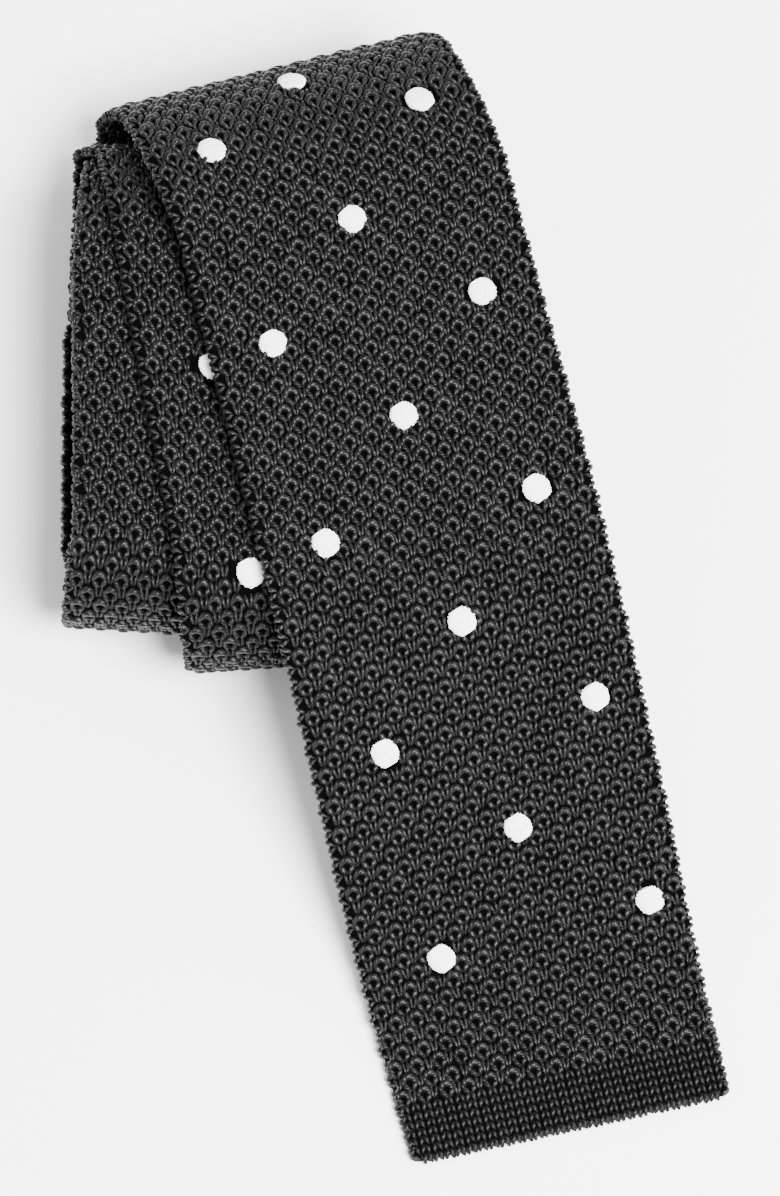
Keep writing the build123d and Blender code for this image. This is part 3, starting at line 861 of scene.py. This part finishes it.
# the turns of the roll: name, first and last length, stitches on the dotted face, how far to the right
# they go (the layers above hide the rest), and the CAD nodes each stands for
SECOND_FOLD_FROM = 434.0
ALL_ACROSS = BLADE_WIDTH
LEFT_PART = 4.0
ROLL = [("underlay", splits[-1], marks["bottom_0"], PLAIN, ALL_ACROSS, ["underlay_knit"]),
        ("bottom_fold", marks["bottom_0"], marks["upper_0"], FINE, ALL_ACROSS, ["bottom_fold_knit"]),
        ("second_top", marks["upper_0"], SECOND_FOLD_FROM, FINE, ALL_ACROSS, ["second_turn_knit"]),
        ("second_fold", SECOND_FOLD_FROM, marks["under_1"], FINE, ALL_ACROSS, []),
        ("second_under", marks["under_1"], marks["bottom_1"], None, ALL_ACROSS, []),
        ("third_fold", marks["bottom_1"], marks["upper_1"], FINE, LEFT_PART, []),
        ("third_top", marks["upper_1"], marks["under_2"], FINE, LEFT_PART, ["taper_knit"]),
        ("third_under", marks["under_2"], marks["upper_2"], None, ALL_ACROSS, []),
        ("neck_outer", marks["upper_2"], marks["upper_3"], None, ALL_ACROSS,
         ["neck_outer_knit", "neck_lining"]),
        ("neck_inner", marks["upper_3"], marks["upper_4"], None, ALL_ACROSS,
         ["neck_inner_knit", "roll_seam"]),
        ("tail", marks["upper_4"], TIE_LENGTH, None, ALL_ACROSS,
         ["tail_knit", "tail_hem_band", "tail_hem_linking"])]
for name, first, last, face, right, nodes in ROLL:
    cloth = cloth_length(f"cloth_{name}", first, last)
    yarn = knit_yarn(f"knit_{name}", first, last, face, None, right, DOT_CLEAR)
    for piece in (cloth, yarn):
        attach(piece, "roll")
    if nodes:
        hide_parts(*nodes)

# ---- white dots ----
bodies = (("blade_lower", END_CUT, LIFT_CUT),
          ("blade_middle", LIFT_CUT, NOSE_CUT),
          ("blade_upper", NOSE_CUT, crest))
for body, first, last in bodies:
    on_body = [p for p in front_dots if first < p[0] < last]
    make_dots(f"dots_{body}", on_body, DOT_PROUD, body, f"{body}_dots")
on_crest = [p for p in front_dots if p[0] > crest] + fold_dot
make_dots("dots_on_crest", on_crest, DOT_PROUD, "fold_1", "fold_1_dots")
make_dots("dots_behind", behind_dots, FLAT_DOT_PROUD, "fold_3", "fold_3_dots")
make_dots("dots_on_roll", roll_dots, FLAT_DOT_PROUD, "roll", "roll_dots")

# ---- ribbon pieces kept from the CAD model ----
for node, material in (("keeper_loop", RIBBON), ("blank_label", RIBBON), ("keeper_loop_tacks", SEAM_YARN),
                       ("label_tacks", SEAM_YARN)):
    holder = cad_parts[node]
    holder.data.materials.clear()
    holder.data.materials.append(material)

# ======================= floor, light, camera =======================
FLOOR_HALF = 3.0
FLOOR_LEVEL = -0.0001
FLOOR_COLOUR = (0.97, 0.97, 0.97)
ROOM_STRENGTH = 1.30
corner_signs = ((-1, -1), (1, -1), (1, 1), (-1, 1))
floor_corners = [(x * FLOOR_HALF, y * FLOOR_HALF, FLOOR_LEVEL) for x, y in corner_signs]
floor_mesh = bpy.data.meshes.new("floor")
floor_mesh.from_pydata(floor_corners, [], [(0, 1, 2, 3)])
floor = bpy.data.objects.new("floor", floor_mesh)
bpy.context.scene.collection.objects.link(floor)
floor_material, _, _ = node_material("pale_floor", FLOOR_COLOUR, 0.9, 0.0)
floor_mesh.materials.append(floor_material)

world = bpy.data.worlds.new("soft_room")
bpy.context.scene.world = world
world.use_nodes = True
background = world.node_tree.nodes["Background"]
background.inputs["Color"].default_value = (1.0, 1.0, 1.0, 1.0)
background.inputs["Strength"].default_value = ROOM_STRENGTH


def area_light(name, place, size, power):
    """A round lamp that shines at the middle of the frame."""
    light = bpy.data.lights.new(name, "AREA")
    light.shape = "DISK"
    light.size = size
    light.energy = power
    lamp = bpy.data.objects.new(name, light)
    lamp.location = place
    lamp.rotation_euler = (-Vector(place)).to_track_quat("-Z", "Y").to_euler()
    bpy.context.scene.collection.objects.link(lamp)


area_light("overhead", place=(0.50, -0.45, 1.15), size=0.7, power=108.0)
area_light("side", place=(0.9, 0.5, 0.7), size=0.4, power=9.0)

ELEVATION = 72.0
DISTANCE = 1.2
SEEN_WIDTH = 0.14391    # width of the view at the height of the tie, m
TIE_MIDDLE = 0.019      # that height, m
SENSOR = 36.0
camera_data = bpy.data.cameras.new("camera")
camera_data.sensor_fit = "HORIZONTAL"
camera_data.sensor_width = SENSOR
camera_data.lens = SENSOR * (DISTANCE - TIE_MIDDLE) / SEEN_WIDTH
camera_data.clip_start = 0.05
camera = bpy.data.objects.new("camera", camera_data)
aim = np.array([TO_FRAME[0], TO_FRAME[1], 0.0]) / 1000.0
offset = np.array([0.0, -cosine(ELEVATION), sine(ELEVATION)]) * DISTANCE
camera.location = tuple(aim + offset)
camera.rotation_euler = (math.radians(90.0 - ELEVATION), 0.0, 0.0)
bpy.context.scene.collection.objects.link(camera)
bpy.context.scene.camera = camera
